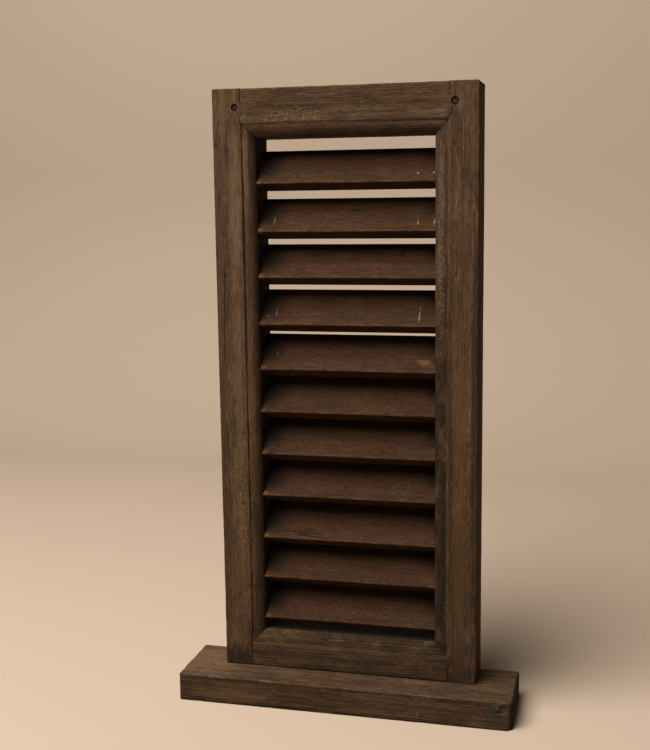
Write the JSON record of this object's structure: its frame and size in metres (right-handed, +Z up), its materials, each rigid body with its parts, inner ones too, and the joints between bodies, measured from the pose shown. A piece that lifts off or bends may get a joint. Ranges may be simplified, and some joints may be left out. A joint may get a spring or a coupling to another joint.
{
  "type": "louvred shutter on a foot",
  "caption": "Upright wooden shutter leaf with fixed sloping louvres in a moulded, pegged frame, standing on a plank foot.",
  "frame": {"origin": "middle of the foot block's underside, at the height of the surface it stands on", "axes": "+X to the right of someone facing the moulded front, the front faces -Y, +Z up"},
  "size_m": [0.352, 0.082, 0.636],
  "materials": {
    "frame_wood": "old oiled hardwood, worn",
    "slat_wood": "old dark-stained hardwood",
    "foot_wood": "old plank, scuffed",
    "peg_wood": "dark end grain",
    "screw_steel": "dull zinc"
  },
  "bodies": {
    "root": {"stile_left": "frame_wood", "stile_right": "frame_wood", "rail_top": "frame_wood", "rail_bottom": "frame_wood", "peg_left": "peg_wood", "peg_right": "peg_wood", "foot": "foot_wood", "foot_screw_left": "screw_steel", "foot_screw_right": "screw_steel", "slat_01": "slat_wood", "slat_02": "slat_wood", "slat_03": "slat_wood", "slat_04": "slat_wood", "slat_05": "slat_wood", "slat_06": "slat_wood", "slat_07": "slat_wood", "slat_08": "slat_wood", "slat_09": "slat_wood", "slat_10": "slat_wood", "slat_11": "slat_wood"}
  },
  "joints": []
}
